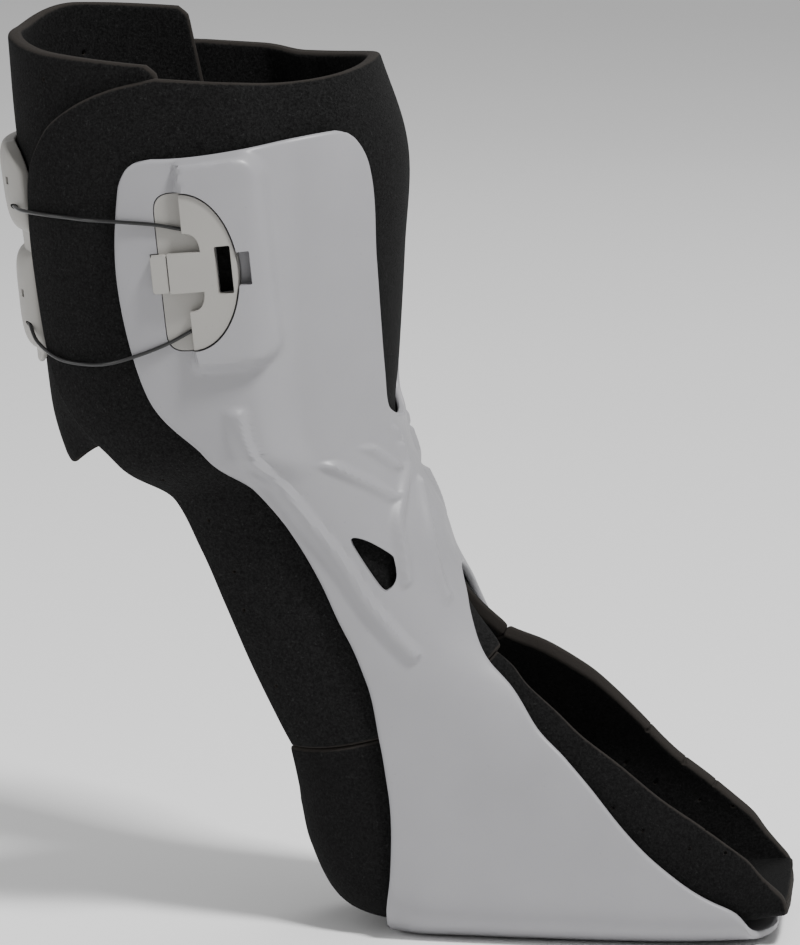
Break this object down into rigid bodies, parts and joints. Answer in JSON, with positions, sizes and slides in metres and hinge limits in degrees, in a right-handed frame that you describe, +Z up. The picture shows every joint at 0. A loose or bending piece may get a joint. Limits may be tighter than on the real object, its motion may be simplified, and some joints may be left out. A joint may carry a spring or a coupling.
{
  "type": "foot drop brace",
  "caption": "Ankle and foot brace: grey moulded calf wings, ankle bridge and sole plate, black foam liner, calf pad and a wire closure with half-moon clasps.",
  "frame": {"origin": "on the foot bed, in the middle of its width, under the ankle", "axes": "+Z up along the leg, +X towards the toes, +Y to the far side"},
  "size_m": [0.2711, 0.1418, 0.3111],
  "materials": {
    "shell": "satin",
    "foam": "matte",
    "clasp": "satin",
    "wire": "gloss"
  },
  "bodies": {
    "root": {"shell": "shell", "liner_upper": "foam", "liner_foot": "foam", "back_pad": "foam", "back_plate": "clasp", "wire_upper": "wire", "wire_lower": "wire", "catch_plate_near": "clasp", "clasp_near": "clasp", "catch_plate_far": "clasp", "clasp_far": "clasp"}
  },
  "joints": []
}
